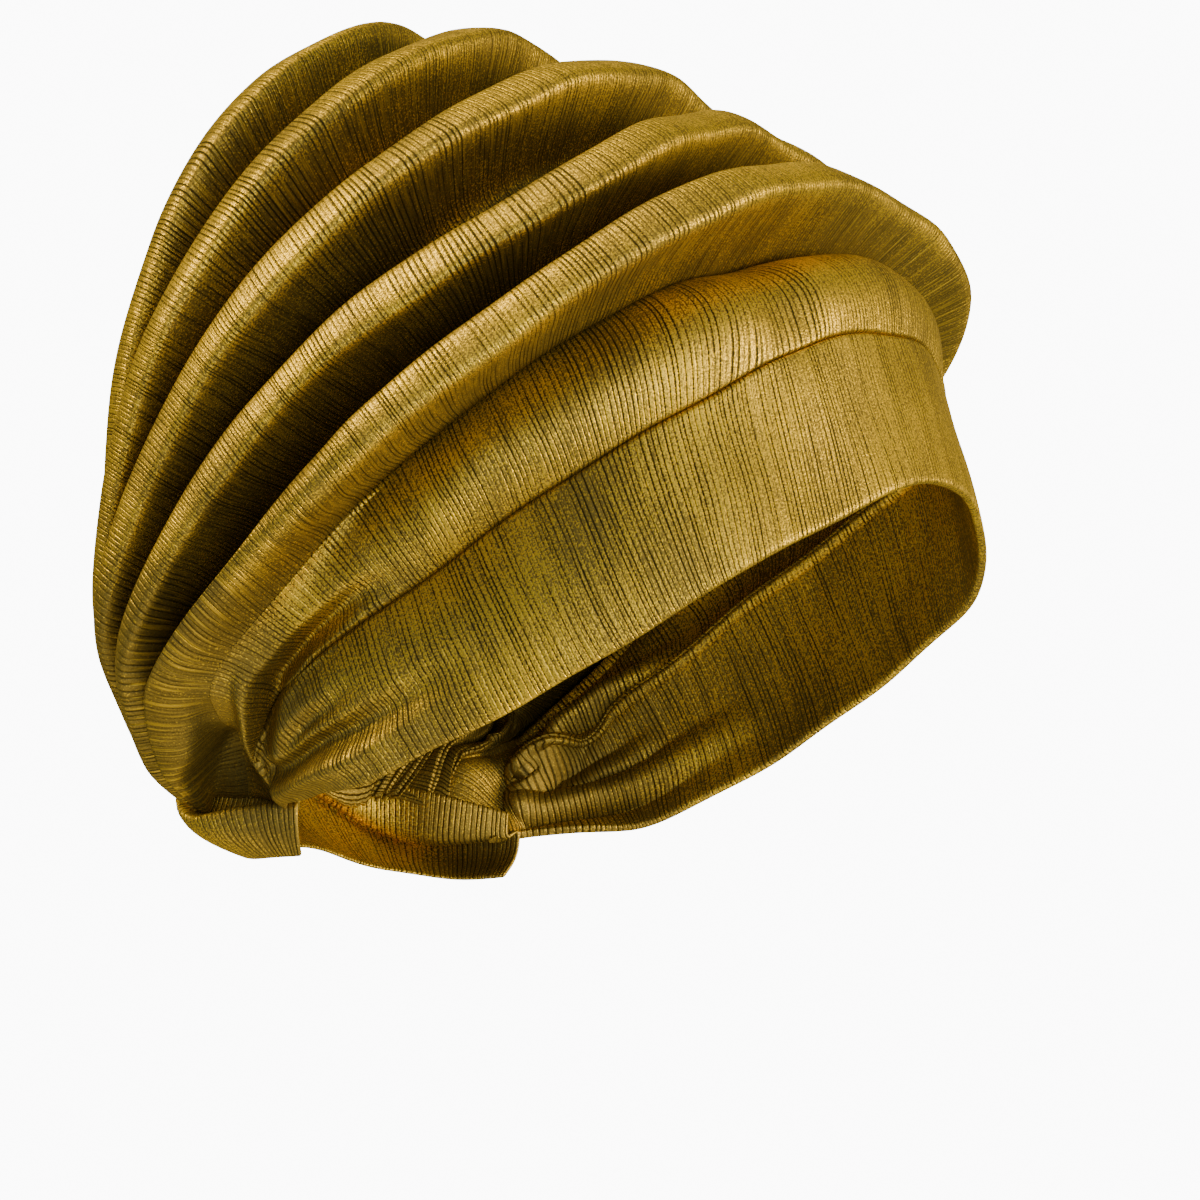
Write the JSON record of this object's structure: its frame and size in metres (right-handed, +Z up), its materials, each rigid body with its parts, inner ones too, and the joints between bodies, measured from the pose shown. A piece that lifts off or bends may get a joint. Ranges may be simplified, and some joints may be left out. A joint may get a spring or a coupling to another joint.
{
  "type": "pleated turban",
  "caption": "Ready-tied turban of ribbed knit: a wide front band, a smooth roll, tall standing pleats that fan over the crown into gathers behind the ears, and a closed nape.",
  "frame": {"origin": "middle of the head opening on the middle plane, halfway between the hem at the forehead and the hem at the nape", "axes": "+X to the wearer's left, -Y to the front, +Z up with the head upright"},
  "size_m": [0.2352, 0.2022, 0.2198],
  "materials": {
    "ribbed_cloth": "mustard gold fine ribbed knit with a metallic sparkle"
  },
  "bodies": {
    "root": {"front_band": "ribbed_cloth", "crown_roll": "ribbed_cloth", "pleat_1": "ribbed_cloth", "pleat_2": "ribbed_cloth", "pleat_3": "ribbed_cloth", "pleat_4": "ribbed_cloth", "pleat_5": "ribbed_cloth", "back_panel": "ribbed_cloth", "nape_band": "ribbed_cloth"}
  },
  "joints": []
}
